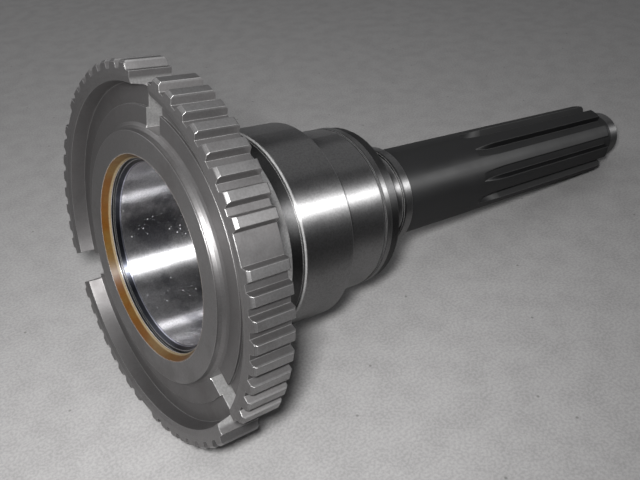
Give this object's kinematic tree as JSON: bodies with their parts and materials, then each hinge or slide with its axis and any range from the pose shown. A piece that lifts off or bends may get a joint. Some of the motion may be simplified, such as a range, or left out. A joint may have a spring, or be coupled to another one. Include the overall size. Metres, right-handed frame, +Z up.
{
  "type": "transmission input shaft",
  "caption": "Splined truck gearbox input shaft with a toothed clutch ring, bearing bore and ground journals.",
  "frame": {"origin": "centre of the bounding box, at floor level: the shaft lies on its ring teeth and its splined end", "axes": "+X along the shaft's run over the floor, from the toothed ring to the splined end; +Z up from the floor; the shaft's own axis falls by 10.8 degrees towards +X"},
  "size_m": [0.4004, 0.18, 0.1789],
  "materials": {
    "ring_steel": "satin",
    "shaft_steel": "satin"
  },
  "bodies": {
    "root": {"toothed_ring": "ring_steel", "input_shaft": "shaft_steel"}
  },
  "joints": []
}
